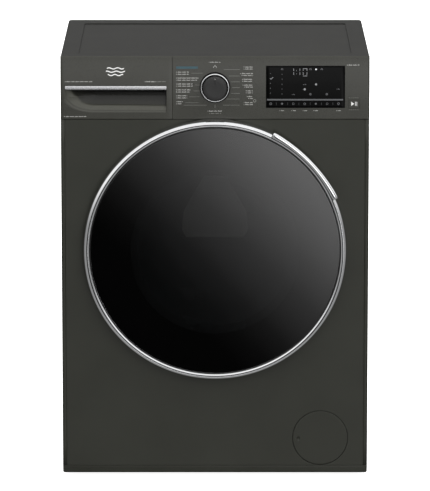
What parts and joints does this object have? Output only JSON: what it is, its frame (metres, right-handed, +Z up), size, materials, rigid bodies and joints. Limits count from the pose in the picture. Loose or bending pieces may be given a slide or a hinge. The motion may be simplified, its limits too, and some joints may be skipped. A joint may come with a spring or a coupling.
{
  "type": "front load washing machine",
  "caption": "Free-standing front load washing machine with a round glazed door, detergent drawer, programme dial, display panel and a filter flap.",
  "frame": {"origin": "on the floor, under the middle of the whole machine's box, with the feet's soles at z = 0", "axes": "+Z up, front (door side) towards -Y, +X to the right of someone who faces the door"},
  "size_m": [0.6, 0.556, 0.84],
  "materials": {
    "body_paint": "satin anthracite enamel",
    "worktop": "fine-grained anthracite",
    "worktop_board": "anthracite laminate on chipboard",
    "panel_plastic": "satin anthracite, finely grained",
    "inner_steel": "zinc coated",
    "stainless": "bright",
    "aluminium": "cast",
    "chrome": "polished",
    "satin_trim": "satin",
    "black_gloss": "polished black",
    "black_plastic": "matt black",
    "smoked_glass": "smoked, polished",
    "clear_glass": "clear",
    "rubber_grey": "matt grey",
    "rubber_black": "matt black",
    "white_plastic": "satin white",
    "tub_plastic": "light grey, filled polypropylene",
    "concrete": "cast concrete",
    "circuit_green": "circuit board"
  },
  "bodies": {
    "cabinet": {"side_panel_left": "body_paint", "side_panel_right": "body_paint", "front_panel": "body_paint", "back_panel": "inner_steel", "rear_service_cover": "inner_steel", "base_pan": "panel_plastic", "foot_front_left": "rubber_black", "foot_front_right": "rubber_black", "foot_rear_left": "rubber_black", "foot_rear_right": "rubber_black", "worktop_frame": "worktop", "worktop_board": "worktop_board", "spring_crossbar": "inner_steel", "control_panel": "panel_plastic", "display_window": "black_gloss", "control_board": "circuit_green", "dispenser_housing": "white_plastic", "hinge_bracket": "stainless", "door_lock": "white_plastic", "door_gasket": "rubber_grey", "suspension_spring_left": "stainless", "suspension_spring_right": "stainless", "damper_cylinder_left": "inner_steel", "damper_cylinder_right": "inner_steel", "drain_pump": "tub_plastic", "sump_hose": "rubber_black", "filling_hose": "rubber_black", "inlet_valve": "white_plastic", "drain_outlet": "black_plastic", "mains_gland": "black_plastic"},
    "door": {"door_ring": "chrome", "door_frame": "black_plastic", "door_cover": "smoked_glass", "door_bowl": "clear_glass", "door_hinge_arm": "stainless"},
    "handle": {"door_handle": "chrome"},
    "latch": {"latch_hook": "stainless"},
    "drawer": {"drawer_front": "panel_plastic", "drawer_trim": "satin_trim", "drawer_tray": "white_plastic"},
    "dial": {"program_dial": "black_gloss"},
    "start_key": {"start_button": "panel_plastic"},
    "filter_flap": {"filter_cover": "body_paint"},
    "filter_plug": {"pump_filter_plug": "black_plastic"},
    "tub": {"tub_front_shell": "tub_plastic", "tub_rear_shell": "tub_plastic", "front_counterweight": "concrete", "drum_bearing": "stainless", "heating_element": "stainless", "damper_rod_left": "stainless", "damper_rod_right": "stainless", "motor_body": "aluminium", "drive_belt": "rubber_black"},
    "drum": {"drum": "stainless", "drum_lifter_1": "tub_plastic", "drum_lifter_2": "tub_plastic", "drum_lifter_3": "tub_plastic", "drum_spider": "aluminium", "drum_pulley": "aluminium"},
    "motor_rotor": {"motor_pulley": "aluminium"}
  },
  "joints": [
    {"name": "door_hinge", "type": "hinge", "parent": "cabinet", "child": "door", "pos_m": [-0.25, -0.262, 0.4606], "axis": [0, 0, -1], "range_deg": [0, 120]},
    {"name": "handle_tilt", "type": "hinge", "parent": "door", "child": "handle", "pos_m": [0.16833, -0.268, 0.62315], "axis": [0.6947, 0, -0.7193], "range_deg": [0, 8], "stiffness_Nm_per_rad": 1.5, "springref_deg": -8.59},
    {"name": "latch_turn", "type": "hinge", "parent": "door", "child": "latch", "pos_m": [0.2165, -0.2545, 0.4606], "axis": [0, 0, 1], "range_deg": [0, 12]},
    {"name": "drawer_slide", "type": "slide", "parent": "cabinet", "child": "drawer", "axis": [0, -1, 0], "range_m": [0, 0.15]},
    {"name": "dial_turn", "type": "hinge", "parent": "cabinet", "child": "dial", "pos_m": [0, -0.242, 0.7791], "axis": [0, -1, 0], "continuous": true},
    {"name": "start_press", "type": "slide", "parent": "cabinet", "child": "start_key", "axis": [0, 1, 0], "range_m": [0, 0.0012], "stiffness_N_per_m": 500, "springref_m": -0.001},
    {"name": "flap_hinge", "type": "hinge", "parent": "cabinet", "child": "filter_flap", "pos_m": [0.2571, -0.2417, 0.0804], "axis": [0, 0, 1], "range_deg": [0, 100]},
    {"name": "plug_turn", "type": "hinge", "parent": "cabinet", "child": "filter_plug", "pos_m": [0.2071, -0.2335, 0.0804], "axis": [0, -1, 0], "range_deg": [0, 120]},
    {"name": "tub_float", "type": "slide", "parent": "cabinet", "child": "tub", "axis": [0, 0, 1], "range_m": [-0.006, 0.006], "stiffness_N_per_m": 12000, "springref_m": 0.0224, "deforming": ["suspension_spring_left", "suspension_spring_right", "filling_hose", "sump_hose", "door_gasket"]},
    {"name": "drum_spin", "type": "hinge", "parent": "tub", "child": "drum", "pos_m": [0, 0, 0.4606], "axis": [0, -1, 0], "continuous": true},
    {"name": "motor_spin", "type": "hinge", "parent": "tub", "child": "motor_rotor", "pos_m": [0, 0.2, 0.13], "axis": [0, -1, 0], "continuous": true}
  ],
  "couplings": [
    {"joint": "latch_turn", "follows": "handle_tilt", "ratio": 1.5},
    {"joint": "motor_spin", "follows": "drum_spin", "ratio": 13.809}
  ]
}
